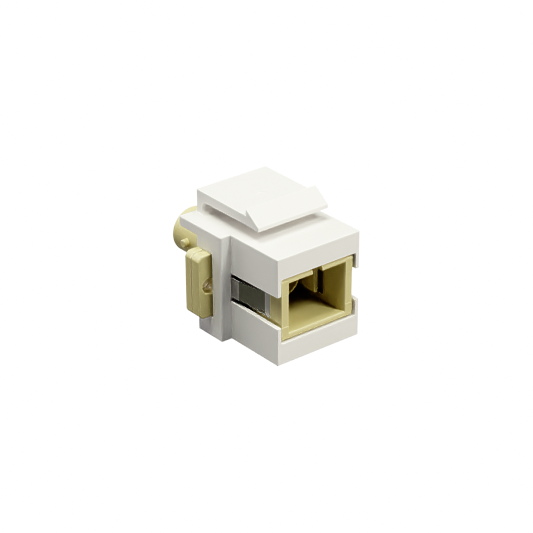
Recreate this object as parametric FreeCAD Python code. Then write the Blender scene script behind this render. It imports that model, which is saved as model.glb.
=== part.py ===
import FreeCAD, Part
import math
import os

# Fibre keystone adapter, in millimetres.
# The origin is on the optical axis, in the plane of the shoulder that seats behind the panel.
# +X is to the right as seen from the front, +Y runs to the rear, +Z is up.

# Square socket at the front
cavity_width = 9.1
cavity_height = 7.5
socket_side_wall = 1.75
socket_top_wall = 0.9
lead_in_width = 0.45
lead_in_depth = 1.05
keyway_width = 1.76
keyway_length = 5.0
body_corner = 0.3
lip_radius = 0.25

# Screw flange, half of it on each half of the adapter
screw_pitch = 18.3
screw_hole_radius = 1.15
ear_edge = 1.95
ear_rise = 0.15
ear_corner = 1.4
ear_front_thickness = 1.65
ear_rear_thickness = 1.5
ear_edge_radius = 0.12

# Split sleeve and its holder
ferrule_radius = 1.25
sleeve_wall = 0.35
sleeve_length = 11.4
sleeve_slit = 0.5
sleeve_chamfer = 0.12
sleeve_play = 0.1
sleeve_float = 0.1
tube_wall = 0.4
tube_lip = 1.5
entry_play = 0.15
entry_flare = 0.3

# Hooks that hold the plug
hook_room_wall = 1.0
hook_travel = 1.6
hook_thickness = 0.5
hook_barb = 0.25
hook_barb_length = 2.45
hook_nose = 0.12
hook_corner = 0.3
hook_height = 3.9
hook_lead = 2.15
hook_clearance = 0.7
hook_room_lead = 0.05
insert_thickness = 1.5
insert_step = 0.3
insert_corner = 0.5
insert_clearance = 0.1
insert_float = 0.05

# Bayonet barrel at the rear
barrel_radius = 3.5
barrel_length = 13.25
barrel_wall = 1.05
barrel_edge = 0.15
stop_wall = 1.65
bayonet_lug_radius = 0.65
bayonet_lug_height = 0.8
bayonet_lug_edge = 0.2
bayonet_lug_setback = 3.55
key_slot_width = 1.6
key_slot_depth = 2.5

# Spring-steel clip
clip_thickness = 0.3
clip_play = 0.02
clip_setback = 2.45
clip_rear_land = 0.8
clip_leg_stop = 2.58
clip_strip = 1.1
clip_bend = 0.3
tang_rise = 0.78
tang_tip_length = 1.68
tang_tip_rise = 0.12
tang_slit = 0.22
tang_clearance = 0.35
tang_end_gap = 0.1

# White housing
side_clearance = 0.3
lift_clearance = 0.2
ear_clearance = 0.1
side_wall = 0.65
face_band = 3.2
nose_depth = 10.1
front_recess = 0.3
shoulder_step = 1.7
shoulder_depth = 5.4
ear_seat = 2.25
ear_relief = 0.3
ear_seat_width = 1.5
plate_depth = 9.0
plate_ledge = 0.35
shell_wall = 1.5
front_wall = 1.5
rib_width = 1.0
rib_count = 2
slot_height_front = 4.8
slot_height_rear = 4.3
slot_reach = 0.25
edge_radius = 0.2
fixed_lug_width = 10.0
fixed_lug_height = 1.0

# Sprung latch
panel_gap = 1.95
arm_inset = 1.1
arm_thickness = 1.55
arm_droop = 0.15
arm_edge = 0.2
arm_gap = 1.85
riser_thickness = 1.25
catch_height = 0.9
catch_length = 2.75
catch_tip = 0.6
catch_tip_drop = 0.12
catch_round = 0.12

# Sizes that follow from the fits
body_width = cavity_width + 2 * socket_side_wall
body_height = cavity_height + 2 * socket_top_wall
socket_width = body_width + 2 * side_clearance
socket_height = body_height + 2 * lift_clearance
nose_width = socket_width + 2 * side_wall
nose_height = socket_height + 2 * face_band
shoulder_width = nose_width + 2 * shoulder_step
ear_width = screw_pitch + 2 * ear_edge
ear_height = body_height + 2 * ear_rise
arm_width = nose_width - 2 * arm_inset
hook_room_width = body_width - 2 * hook_room_wall
hook_room_height = hook_height + 2 * hook_clearance
insert_seat_height = cavity_height + 2 * insert_step
tang_height = slot_height_rear - 2 * tang_clearance
sleeve_radius = ferrule_radius + sleeve_wall
chamber_radius = sleeve_radius + sleeve_play
tube_radius = chamber_radius + tube_wall
entry_radius = ferrule_radius + entry_play
gap_radius = arm_gap / 2

# Places along the axis
nose_front = -nose_depth
body_front = nose_front + front_recess
parting = ear_seat + ear_front_thickness
ear_rear = parting + ear_rear_thickness
barrel_end = ear_rear + barrel_length
plate_rear = plate_depth + plate_ledge
chamber_reach = sleeve_length / 2 + sleeve_float
chamber_front = parting - chamber_reach
chamber_rear = parting + chamber_reach
barrel_floor = chamber_rear + stop_wall
insert_rear = parting - insert_float
insert_front = insert_rear - insert_thickness
insert_seat = insert_front - insert_float
tube_front = chamber_front - tube_lip
hook_front = tube_front - hook_lead
clip_front = body_front + clip_setback
clip_rear = ear_seat - clip_rear_land

# Heights
nose_top = nose_height / 2
hinge_height = nose_top + gap_radius
hinge_depth = plate_depth - riser_thickness
arm_under = nose_top + arm_gap
arm_top = arm_under + arm_thickness
clip_leg_end = clip_leg_stop - body_height / 2

# Cuts run this far past the faces that they open
overcut = 1.0
# Lengths below this count as nothing
tolerance = 1e-6

AXIS = FreeCAD.Vector(0, 1, 0)
ACROSS = FreeCAD.Vector(1, 0, 0)
UP = FreeCAD.Vector(0, 0, 1)


def outline(corners, place):
    """Face bounded by (u, v, radius) corners, each rounded by its own radius."""
    points = [place(u, v) for u, v, _ in corners]
    edges = []
    leaves = []
    arrives = []
    for index, (_, _, radius) in enumerate(corners):
        corner = points[index]
        before = points[index - 1] - corner
        after = points[(index + 1) % len(points)] - corner
        half_angle = before.getAngle(after) / 2
        before.normalize()
        after.normalize()
        inward = (before + after).normalize() if radius else before
        reach = radius / math.tan(half_angle)
        arrives.append(corner + before * reach)
        leaves.append(corner + after * reach)
        if radius:
            middle = corner + inward * (radius / math.sin(half_angle) - radius)
            edges.append(Part.Arc(arrives[-1], middle, leaves[-1]).toShape())
    for index, arrive in enumerate(arrives):
        if leaves[index - 1].distanceToPoint(arrive) > tolerance:
            edges.append(Part.LineSegment(leaves[index - 1], arrive).toShape())
    return Part.Face(Part.Wire(Part.__sortEdges__(edges)))


def front_prism(width, height, radius, y_front, y_rear):
    """Rounded rectangle about the optical axis, drawn along it."""
    u = width / 2
    v = height / 2
    corners = [(-u, -v, radius), (u, -v, radius), (u, v, radius), (-u, v, radius)]
    face = outline(corners, lambda x, z: FreeCAD.Vector(x, y_front, z))
    return face.extrude(AXIS * (y_rear - y_front))


def side_prism(corners, width):
    """Side-view outline drawn across the part, centred on its middle plane."""
    face = outline(corners, lambda y, z: FreeCAD.Vector(-width / 2, y, z))
    return face.extrude(ACROSS * width)


def plan_prism(corners, height):
    """Plan-view outline drawn upwards, centred on the optical axis."""
    face = outline(corners, lambda x, y: FreeCAD.Vector(x, y, -height / 2))
    return face.extrude(UP * height)


def block(x_span, y_span, z_span):
    """Plain block between three pairs of limits."""
    spans = (x_span, y_span, z_span)
    sizes = [high - low for low, high in spans]
    return Part.makeBox(*sizes, FreeCAD.Vector(*[low for low, _ in spans]))


def turned(profile):
    """Solid turned about the optical axis from (radius, depth) points."""
    corners = [(radius, depth, 0) for radius, depth in profile]
    face = outline(corners, lambda r, y: FreeCAD.Vector(r, y, 0))
    return face.revolve(FreeCAD.Vector(0, 0, 0), AXIS, 360)


def both_sides(shape):
    """The shape and its mirror image across the middle plane."""
    return [shape, shape.mirror(FreeCAD.Vector(0, 0, 0), ACROSS)]


def edges_where(shape, test):
    """Edges whose middle point passes the test."""
    return [edge for edge in shape.Edges if test(edge.CenterOfMass)]


def near(value, goal):
    """Whether two lengths agree."""
    return abs(value - goal) < tolerance


def export(name, shape):
    """One tidy solid, written under its own name."""
    solid = shape.removeSplitter()
    assert solid.isValid() and len(solid.Solids) == 1, name
    solid.Solids[0].exportStep(f"parts/{name}.step")
    print(name, round(solid.Volume, 2), "mm3")


def screw_holes(y_front, y_rear):
    """The two flange holes, beside the body on the middle height."""
    length = y_rear - y_front + 2 * overcut
    base = FreeCAD.Vector(screw_pitch / 2, y_front - overcut, 0)
    return both_sides(Part.makeCylinder(screw_hole_radius, length, base, AXIS))


def ear_plate(y_front, y_rear, rounded_face):
    """Half of the screw flange, with its outer rim rounded and both holes cut."""
    plate = front_prism(ear_width, ear_height, ear_corner, y_front, y_rear)
    rim = edges_where(plate, lambda middle: near(middle.y, rounded_face))
    plate = plate.makeFillet(ear_edge_radius, rim)
    return plate.cut(screw_holes(y_front, y_rear))


def housing_shell():
    """Outer form: side outline drawn across, then the nose narrowed to the panel opening."""
    bottom = -nose_top
    plate_under = nose_top - shell_wall
    corners = [
        (nose_front, bottom, 0),
        (shoulder_depth, bottom, 0),
        (shoulder_depth, plate_under, 0),
        (plate_rear, plate_under, 0),
        (plate_rear, nose_top, 0),
        (nose_front, nose_top, 0),
    ]
    shell = side_prism(corners, shoulder_width)
    x_span = (nose_width / 2, shoulder_width)
    z_span = (bottom - overcut, nose_top + overcut)
    shell = shell.cut(both_sides(block(x_span, (nose_front - overcut, 0), z_span)))

    def is_outer(middle):
        beside_nose = near(abs(middle.x), nose_width / 2) and near(middle.y, 0)
        under_plate = near(middle.y, shoulder_depth) and near(middle.z, plate_under)
        return not (beside_nose or under_plate)

    return shell.makeFillet(edge_radius, edges_where(shell, is_outer))


def housing_pockets():
    """Cored bays above and below the socket, open to the rear, with ribs left between them."""
    bay_count = rib_count + 1
    bay_width = (socket_width - rib_count * rib_width) / bay_count
    low = socket_height / 2 - lift_clearance
    high = nose_top - shell_wall
    y_span = (nose_front + front_wall, plate_rear + overcut)
    bays = []
    for index in range(bay_count):
        left = -socket_width / 2 + index * (bay_width + rib_width)
        x_span = (left, left + bay_width)
        bays.append(block(x_span, y_span, (low, high)))
        bays.append(block(x_span, y_span, (-high, -low)))
    return bays


def side_slots():
    """Tapered windows in both side walls, open at the front, that end inside the shoulder."""
    front = nose_front - overcut
    slope = (slot_height_front - slot_height_rear) / nose_depth / 2
    v_front = slot_height_front / 2 + slope * overcut
    v_rear = slot_height_rear / 2
    corners = [(front, -v_front, 0), (0, -v_rear, 0), (0, v_rear, 0), (front, v_front, 0)]
    window = side_prism(corners, nose_width + 2 * overcut)
    half = nose_width / 2
    end = block((-half, half), (-overcut, slot_reach), (-v_rear, v_rear))
    return [window, end]


def latch_foot():
    """Lower half of the riser, flowing out of the top plate by the round end of the gap."""
    embedded = nose_top - shell_wall / 2
    foot_front = hinge_depth - gap_radius
    corners = [
        (foot_front, embedded, 0),
        (plate_depth, embedded, 0),
        (plate_depth, hinge_height, 0),
        (hinge_depth, hinge_height, 0),
        (hinge_depth, nose_top, gap_radius),
        (foot_front, nose_top, 0),
    ]
    return side_prism(corners, arm_width)


def fixed_lug():
    """Wedge under the nose that hooks behind the lower edge of the panel opening."""
    bottom = -nose_top
    embedded = bottom + shell_wall / 2
    wedge_front = -panel_gap - catch_length
    corners = [
        (wedge_front, embedded, 0),
        (wedge_front, bottom, 0),
        (-panel_gap, bottom - fixed_lug_height, catch_round),
        (-panel_gap, embedded, 0),
    ]
    return side_prism(corners, fixed_lug_width)


def keystone_housing():
    """White moulding without the sprung part of its latch."""
    shell = housing_shell().fuse([latch_foot(), fixed_lug()])
    rear = plate_rear + overcut
    socket = front_prism(socket_width, socket_height, body_corner, nose_front - overcut, rear)
    notch_height = ear_height + 2 * ear_clearance
    notch = front_prism(ear_width, notch_height, ear_corner, ear_seat, rear)
    x_span = (socket_width / 2 + ear_seat_width, shoulder_width)
    y_span = (ear_seat - ear_relief, ear_seat + overcut)
    relief = block(x_span, y_span, (-notch_height / 2, notch_height / 2))
    return shell.cut([socket, notch] + both_sides(relief) + side_slots() + housing_pockets())


def latch_arm():
    """Upper half of the riser and the arm, with a ramped catch whose step faces the rear."""
    step = -panel_gap
    tip = step - catch_length
    tip_under = arm_under - catch_tip_drop
    step_foot = arm_top - arm_droop
    corners = [
        (hinge_depth, hinge_height, 0),
        (plate_depth, hinge_height, 0),
        (plate_depth, arm_top, edge_radius),
        (step, step_foot, 0),
        (step, arm_top + catch_height, catch_round),
        (tip, tip_under + catch_tip, arm_edge),
        (tip, tip_under, arm_edge),
        (hinge_depth, arm_under, gap_radius),
    ]
    return side_prism(corners, arm_width)


def clip_former(grow, radius):
    """Block that the clip is folded round: the front half's core, grown on every side."""
    width = body_width - 2 * clip_thickness + 2 * grow
    height = body_height - 2 * clip_thickness + 2 * grow
    return front_prism(width, height, radius, clip_front, clip_rear)


def below_clip(leg_end):
    """Space under the clip's legs, clear across the part."""
    x_span = (-body_width, body_width)
    y_span = (clip_front - overcut, clip_rear + overcut)
    return block(x_span, y_span, (-body_height, leg_end))


def clip_groove():
    """Recess over the top and down both sides in which the clip lies flush."""
    outside = clip_former(clip_thickness + overcut, clip_bend)
    leg_end = clip_leg_end - clip_play
    return outside.cut([clip_former(0, clip_bend), below_clip(leg_end)])


def sc_body():
    """Front half of the adapter: socket, keyway, room for the hooks, and half of the flange."""
    body = front_prism(body_width, body_height, body_corner, body_front, parting)
    body = body.fuse(ear_plate(ear_seat, parting, ear_seat))
    cavity = front_prism(cavity_width, cavity_height, 0, body_front - overcut, insert_seat + overcut)
    inner = cavity_width / 2
    mouth = inner + lead_in_width
    throat = body_front + lead_in_depth
    corners = [(-mouth, body_front, 0), (mouth, body_front, 0), (inner, throat, 0), (-inner, throat, 0)]
    lead_in = plan_prism(corners, cavity_height)
    x_span = (-keyway_width / 2, keyway_width / 2)
    y_span = (body_front - overcut, body_front + keyway_length)
    keyway = block(x_span, y_span, (0, body_height))
    room_front = hook_front - hook_room_lead
    room = front_prism(hook_room_width, hook_room_height, 0, room_front, insert_seat + overcut)
    seat = front_prism(hook_room_width, insert_seat_height, insert_corner, insert_seat, parting + overcut)
    body = body.cut([cavity, lead_in, keyway, room, seat, clip_groove()])
    lips = edges_where(body, lambda middle: near(middle.y, body_front))
    return body.makeFillet(lip_radius, lips)


def hook():
    """One sprung hook: a flat arm whose head has an inward barb and rounded corners."""
    outer = hook_room_width / 2 - hook_travel
    inner = outer - hook_thickness
    crest = inner - hook_barb
    barb_end = hook_front + hook_barb_length
    top = hook_height / 2
    plan = plan_prism([
        (outer, insert_rear, 0),
        (outer, hook_front, 0),
        (crest + hook_nose, hook_front, 0),
        (crest, hook_front + hook_nose, 0),
        (crest, barb_end, 0),
        (inner, barb_end, 0),
        (inner, insert_rear, 0),
    ], hook_height)
    ends = [(crest, -top), (outer, -top), (outer, top), (crest, top)]
    face = outline(
        [(x, z, hook_corner) for x, z in ends],
        lambda x, z: FreeCAD.Vector(x, hook_front, z),
    )
    return plan.common(face.extrude(AXIS * (insert_rear - hook_front)))


def hook_insert():
    """Base plate trapped between the halves, with two hooks and the sleeve's front tube."""
    width = hook_room_width - 2 * insert_clearance
    height = insert_seat_height - 2 * insert_clearance
    plate = front_prism(width, height, insert_corner, insert_front, insert_rear)
    tube = turned([
        (0, tube_front),
        (tube_radius, tube_front),
        (tube_radius, insert_rear),
        (0, insert_rear),
    ])
    hollow = turned([
        (0, tube_front),
        (entry_radius + entry_flare, tube_front),
        (entry_radius, chamber_front),
        (chamber_radius, chamber_front),
        (chamber_radius, parting),
        (0, parting),
    ])
    return plate.fuse([tube] + both_sides(hook())).cut(hollow)


def split_sleeve():
    """Thin springy tube, slit along its top so that it grips both ferrules."""
    front = parting - sleeve_length / 2
    rear = parting + sleeve_length / 2
    sleeve = turned([
        (ferrule_radius + sleeve_chamfer, front),
        (sleeve_radius, front),
        (sleeve_radius, rear),
        (ferrule_radius + sleeve_chamfer, rear),
        (ferrule_radius, rear - sleeve_chamfer),
        (ferrule_radius, front + sleeve_chamfer),
    ])
    x_span = (-sleeve_slit / 2, sleeve_slit / 2)
    return sleeve.cut(block(x_span, (front - overcut, rear + overcut), (0, sleeve_radius + overcut)))


def bayonet_lug():
    """Short round lug on the barrel's side, with its outer rim rounded."""
    root = barrel_radius - barrel_wall / 2
    tip = barrel_radius + bayonet_lug_height
    base = FreeCAD.Vector(root, barrel_end - bayonet_lug_setback, 0)
    lug = Part.makeCylinder(bayonet_lug_radius, tip - root, base, ACROSS)
    rim = edges_where(lug, lambda middle: near(middle.x, tip))
    return lug.makeFillet(bayonet_lug_edge, rim)


def st_body():
    """Rear half of the adapter: the other half of the flange and the bayonet barrel."""
    bore = barrel_radius - barrel_wall
    barrel = turned([
        (0, parting),
        (barrel_radius, parting),
        (barrel_radius, barrel_end - barrel_edge),
        (barrel_radius - barrel_edge, barrel_end),
        (bore, barrel_end),
        (bore, barrel_floor),
        (entry_radius + entry_flare, barrel_floor),
        (entry_radius, chamber_rear),
        (0, chamber_rear),
    ])
    chamber = Part.makeCylinder(chamber_radius, chamber_reach + overcut, AXIS * (parting - overcut), AXIS)
    x_span = (-key_slot_width / 2, key_slot_width / 2)
    y_span = (barrel_end - key_slot_depth, barrel_end + overcut)
    key_slot = block(x_span, y_span, (-barrel_radius - overcut, 0))
    body = ear_plate(parting, ear_rear, ear_rear).fuse([barrel] + both_sides(bayonet_lug()))
    return body.cut([chamber, key_slot])


def clip_tang():
    """Sprung tongue cut free in one leg, leaning outwards, with a flatter tip."""
    leg_out = body_width / 2 + clip_play
    base = clip_front + clip_strip
    tip = slot_reach - tang_end_gap
    crease = tip - tang_tip_length
    crest = leg_out + tang_rise
    tip_out = crest + tang_tip_rise
    corners = [
        (leg_out, base - clip_strip / 2, 0),
        (leg_out, base, 0),
        (crest, crease, 0),
        (tip_out, tip, 0),
        (tip_out - clip_thickness, tip, 0),
        (crest - clip_thickness, crease, 0),
        (leg_out - clip_thickness, base, 0),
        (leg_out - clip_thickness, base - clip_strip / 2, 0),
    ]
    return plan_prism(corners, tang_height - 2 * tang_slit)


def mounting_clip():
    """Spring-steel strip folded over the front half, with a tang in each leg."""
    outside = clip_former(clip_play + clip_thickness, clip_bend + clip_thickness)
    inside = clip_former(clip_play, clip_bend)
    x_span = (-body_width, body_width)
    y_span = (clip_front + clip_strip, slot_reach)
    window = block(x_span, y_span, (-tang_height / 2, tang_height / 2))
    strip = outside.cut([inside, below_clip(clip_leg_end), window])
    return strip.fuse(both_sides(clip_tang()))


os.makedirs("parts", exist_ok=True)
export("keystone_housing", keystone_housing())
export("latch_arm", latch_arm())
export("sc_body", sc_body())
export("st_body", st_body())
export("hook_insert", hook_insert())
export("split_sleeve", split_sleeve())
export("mounting_clip", mounting_clip())
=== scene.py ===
# %% [markdown]
# A fibre keystone adapter: a white snap-in housing that carries a straw-coloured adapter, with a
# square push-pull socket in front and a round bayonet barrel behind.
# The engineering model comes in first as a fixed frame. It gives every piece its place, so each one
# below is modelled where it belongs and nothing is fitted by eye afterwards.

# %% Load the frame
import math

import bmesh
import bpy
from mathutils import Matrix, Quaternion, Vector


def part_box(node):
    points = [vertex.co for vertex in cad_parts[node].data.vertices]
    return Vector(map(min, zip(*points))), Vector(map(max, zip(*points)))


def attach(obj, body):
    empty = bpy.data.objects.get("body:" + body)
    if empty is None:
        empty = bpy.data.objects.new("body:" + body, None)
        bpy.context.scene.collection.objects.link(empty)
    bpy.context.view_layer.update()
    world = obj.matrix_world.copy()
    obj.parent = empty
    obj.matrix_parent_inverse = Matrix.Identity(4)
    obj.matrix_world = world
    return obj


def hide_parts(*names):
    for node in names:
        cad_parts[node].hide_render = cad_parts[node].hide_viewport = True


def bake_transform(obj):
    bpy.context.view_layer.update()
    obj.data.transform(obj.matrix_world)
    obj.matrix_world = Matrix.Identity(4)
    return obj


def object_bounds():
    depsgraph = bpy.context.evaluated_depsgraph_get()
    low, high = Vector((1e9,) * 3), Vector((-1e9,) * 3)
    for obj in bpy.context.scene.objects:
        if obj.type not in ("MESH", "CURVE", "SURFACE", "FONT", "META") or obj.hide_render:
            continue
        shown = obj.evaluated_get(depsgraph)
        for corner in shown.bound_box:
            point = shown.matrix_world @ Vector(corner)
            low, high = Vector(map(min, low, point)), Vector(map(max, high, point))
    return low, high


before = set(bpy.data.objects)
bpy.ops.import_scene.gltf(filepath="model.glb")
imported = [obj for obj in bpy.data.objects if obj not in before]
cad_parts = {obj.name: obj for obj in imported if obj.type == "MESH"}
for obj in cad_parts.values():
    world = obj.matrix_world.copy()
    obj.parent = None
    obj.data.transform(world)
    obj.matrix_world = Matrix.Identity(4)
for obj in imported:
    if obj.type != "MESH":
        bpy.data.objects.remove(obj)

for leftover in ("Cube", "Light", "Camera"):
    if leftover in bpy.data.objects:
        bpy.data.objects.remove(bpy.data.objects[leftover])
CAD_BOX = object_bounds()
MM = 0.001


def node_box(node):
    """Lowest and highest corner of a frame node, in millimetres."""
    low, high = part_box(node)
    return low / MM, high / MM


for node in sorted(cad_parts):
    print(node, [[round(value, 2) for value in corner] for corner in node_box(node)])

# %% [markdown]
# Everything here is a small hard moulding or a folded strip, so a handful of tools does the work.
# A block is a cube stretched between two corners, and a rod is a cylinder about a point. Both are
# only a start and are shaped in edit mode afterwards. One unit is a millimetre while a piece is
# shaped, because Blender's merge and bevel limits suit numbers near one. The finished piece is
# scaled to metres at the very end.

# %% Starting a piece
ROUND_SIDES = 40
UPRIGHT = (0, 0, 0)
SIDEWAYS = (0, math.pi / 2, 0)
LENGTHWISE = (math.pi / 2, 0, 0)


def start_clean():
    """Object mode, with nothing selected."""
    if bpy.context.mode != "OBJECT":
        bpy.ops.object.mode_set(mode="OBJECT")
    bpy.ops.object.select_all(action="DESELECT")


def activate(piece):
    """Make one piece the only selected and the active one."""
    start_clean()
    piece.select_set(True)
    bpy.context.view_layer.objects.active = piece


def block(name, low, high):
    """A cube stretched between two corners."""
    start_clean()
    low = Vector(low)
    high = Vector(high)
    bpy.ops.mesh.primitive_cube_add(size=1, location=(low + high) / 2)
    piece = bpy.context.object
    piece.name = name
    piece.scale = high - low
    bpy.ops.object.transform_apply(location=True, rotation=True, scale=True)
    return piece


def side_block(name, sign, inner, outer):
    """A block on one side of the middle, between two corners that are given for the right side."""
    low_x, high_x = sorted((sign * inner[0], sign * outer[0]))
    return block(name, (low_x, *inner[1:]), (high_x, *outer[1:]))


def rod(name, radius, length, place, turn=UPRIGHT, sides=ROUND_SIDES):
    """A round bar about a point."""
    start_clean()
    bpy.ops.mesh.primitive_cylinder_add(
        vertices=sides, radius=radius, depth=length, location=place, rotation=turn
    )
    piece = bpy.context.object
    piece.name = name
    bpy.ops.object.transform_apply(location=True, rotation=True, scale=True)
    return piece


print("starting tools ready")

# %% [markdown]
# By hand, the faces and edges to work on are clicked. In code they are picked by a test on their
# place or direction: `pick` enters edit mode and selects only what passes. The functions after it
# are such tests, or parts of them.

# %% Picking faces, edges and points
X, Y, Z = 0, 1, 2
TINY = 0.004
SQUARE = 0.99
STRAIGHT = 0.999
SHARP_ANGLE = 50


def pick(piece, kind, wanted):
    """Edit mode, with only the faces, edges or points that pass the test selected."""
    activate(piece)
    bpy.ops.object.mode_set(mode="EDIT")
    bpy.ops.mesh.select_mode(type=kind)
    bpy.ops.mesh.select_all(action="DESELECT")
    cage = bmesh.from_edit_mesh(piece.data)
    items = {"FACE": cage.faces, "EDGE": cage.edges, "VERT": cage.verts}[kind]
    chosen = [item for item in items if wanted(item)]
    for item in chosen:
        item.select_set(True)
    cage.select_flush_mode()
    bmesh.update_edit_mesh(piece.data)
    assert chosen, f"nothing picked on {piece.name}"


def pick_all(piece):
    """Edit mode, with the whole piece selected."""
    activate(piece)
    bpy.ops.object.mode_set(mode="EDIT")
    bpy.ops.mesh.select_all(action="SELECT")


def near(value, goal, slack=TINY):
    """Whether two lengths agree."""
    return abs(value - goal) < slack


def facing(axis, sign):
    """A test for faces that look along one axis."""
    return lambda face: face.normal[axis] * sign > SQUARE


def points_at(depth, height):
    """A test for points at one depth and one height."""
    return lambda point: near(point.co.y, depth) and near(point.co.z, height)


def middle(edge):
    """The point half way along an edge."""
    return (edge.verts[0].co + edge.verts[1].co) / 2


def along(edge, axis):
    """Whether an edge runs along one axis."""
    run = edge.verts[1].co - edge.verts[0].co
    return abs(run[axis]) > STRAIGHT * run.length


def is_sharp(edge, degrees=SHARP_ANGLE):
    """Whether the faces on the two sides of an edge meet at a sharp outside corner."""
    if len(edge.link_faces) != 2 or not edge.is_convex:
        return False
    return math.degrees(edge.calc_face_angle(0)) > degrees


def sharp_at(depth):
    """A test for sharp edges at one depth along the optical axis."""
    return lambda edge: is_sharp(edge) and near(middle(edge).y, depth)


print("picking tools ready")

# %% [markdown]
# What is picked is then shaped: `push` extrudes faces, `slide` moves points, `slice_through` cuts a
# line of edges and `round_edges` bevels. These few operators are most of box modelling.

# %% Shaping tools
CUT_SLACK = 1e-5


def push(offset):
    """Extrude the picked faces by an offset and keep them picked."""
    bpy.ops.mesh.extrude_region_move(TRANSFORM_OT_translate={"value": offset})


def slide(piece, wanted, offset):
    """Move the points that pass the test."""
    pick(piece, "VERT", wanted)
    bpy.ops.transform.translate(value=offset)
    start_clean()


def slice_through(piece, place, axis):
    """Cut a line of edges round the whole piece in a plane square to one axis."""
    point = [0, 0, 0]
    normal = [0, 0, 0]
    point[axis] = place
    normal[axis] = 1
    pick_all(piece)
    bpy.ops.mesh.bisect(plane_co=point, plane_no=normal, threshold=CUT_SLACK)
    start_clean()


def round_edges(piece, wanted, radius, segments=4, profile=0.5):
    """Bevel the edges that pass the test; a profile of a half is round and a quarter is flat."""
    pick(piece, "EDGE", wanted)
    bpy.ops.mesh.bevel(offset=radius, segments=segments, profile=profile, affect="EDGES")
    start_clean()


def rounded_block(name, low, high, corner, segments=4, profile=0.5):
    """A block whose four edges along the optical axis are rounded."""
    piece = block(name, low, high)
    round_edges(piece, lambda edge: along(edge, Y), corner, segments, profile)
    return piece


print("shaping tools ready")

# %% [markdown]
# A mould maker adds and takes away blocks. `weld` and `carve` do so with a Boolean modifier. Booleans
# leave extra edges on flat faces, so `tidy` dissolves them before the next bevel, which then runs
# cleanly from corner to corner. They also number their points anew in each run. `tidy` therefore
# sorts everything by its distance from one odd point first, and each run gives the same mesh.

# %% Adding and taking away
MERGE_GAP = TINY / 4
FLAT_ANGLE = math.radians(0.5)
SORT_POINT = (-53.7, -91.3, 137.9)


def apply_boolean(piece, tool, operation):
    """Add or take away one piece and remove it."""
    activate(piece)
    change = piece.modifiers.new(operation.lower(), "BOOLEAN")
    change.object = tool
    change.operation = operation
    change.solver = "EXACT"
    bpy.ops.object.modifier_apply(modifier=change.name)
    bpy.data.objects.remove(tool)
    assert piece.data.polygons, f"{operation} left nothing of {piece.name}"


def carve(piece, *tools):
    """Take the tools' shapes out of a piece."""
    for tool in tools:
        apply_boolean(piece, tool, "DIFFERENCE")


def weld(piece, *others):
    """Make several pieces one."""
    for other in others:
        apply_boolean(piece, other, "UNION")


def tidy(piece):
    """Merge doubled points and dissolve edges inside flat faces, always in the same order."""
    pick_all(piece)
    bpy.ops.mesh.remove_doubles(threshold=MERGE_GAP)
    bpy.context.scene.cursor.location = SORT_POINT
    bpy.ops.mesh.sort_elements(type="CURSOR_DISTANCE", elements={"VERT", "EDGE", "FACE"})
    bpy.context.scene.cursor.location = (0, 0, 0)
    bpy.ops.mesh.dissolve_limited(angle_limit=FLAT_ANGLE)
    start_clean()


print("joining tools ready")

# %% [markdown]
# A moulding looks right when its roundings shade smoothly and its flats stay flat. Smooth shading
# by angle handles the roundings. A Weighted Normal modifier then lets the big flat faces set the
# normals along their borders, so no grey gradients creep across them.

# %% Finishing a piece
SMOOTH_ANGLE = math.radians(40)


def finish_piece(piece, body, slot, *nodes):
    """Shade a piece, scale it to metres and hang it on its body in place of its nodes."""
    pick_all(piece)
    bpy.ops.mesh.remove_doubles(threshold=MERGE_GAP)
    bpy.ops.mesh.normals_make_consistent(inside=False)
    bpy.ops.object.mode_set(mode="OBJECT")
    bpy.ops.object.shade_smooth_by_angle(angle=SMOOTH_ANGLE)
    weights = piece.modifiers.new("weights", "WEIGHTED_NORMAL")
    weights.keep_sharp = True
    bpy.ops.object.modifier_apply(modifier=weights.name)
    piece.scale = (MM, MM, MM)
    bpy.ops.object.transform_apply(location=True, rotation=True, scale=True)
    if body:
        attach(piece, body)
    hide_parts(*nodes)
    size = [round(length / MM, 2) for length in piece.dimensions]
    print(piece.name, "faces", len(piece.data.polygons), "size", size)


print("finishing tool ready")

# %% [markdown]
# The white housing is one moulding: a nose for the panel opening, a wider shoulder, a top plate
# and the sprung latch above it. It could be put together from blocks, but growing it out of one
# cube by slicing and extruding gives clean faces and is how such a form is box-modelled by hand.

# %% Grow the white housing out of one block
HALF_HEIGHT = 8.05
NOSE_HALF = 7.25
SHOULDER_REAR = 5.4
SHELL_WALL = 1.5
house_low, house_high = node_box("keystone_housing")
nose_front = house_low.y
plate_rear = house_high.y
plate_under = HALF_HEIGHT - SHELL_WALL


def shoulder_side(sign):
    """A test for one side behind the panel."""
    return lambda face: facing(X, sign)(face) and face.calc_center_median().y > 0


def plate_back(face):
    """The rear end of the top wall."""
    return facing(Y, 1)(face) and face.calc_center_median().z > plate_under


white = block(
    "white_housing",
    (-NOSE_HALF, nose_front, -HALF_HEIGHT),
    (NOSE_HALF, SHOULDER_REAR, HALF_HEIGHT),
)
slice_through(white, 0, Y)
for sign in (-1, 1):
    pick(white, "FACE", shoulder_side(sign))
    push((sign * (house_high.x - NOSE_HALF), 0, 0))
slice_through(white, plate_under, Z)
pick(white, "FACE", plate_back)
push((0, plate_rear - SHOULDER_REAR, 0))
start_clean()
print("shell grown to", [round(length, 2) for length in white.dimensions])

# %% [markdown]
# The latch is a strap that rises from the back of the top plate and folds forward over it. Four
# slices mark out the riser's patch on the plate. It is then extruded up for the riser and its front
# forward for the arm, each in two steps, so that the corner and the catch get faces of their own.

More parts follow.
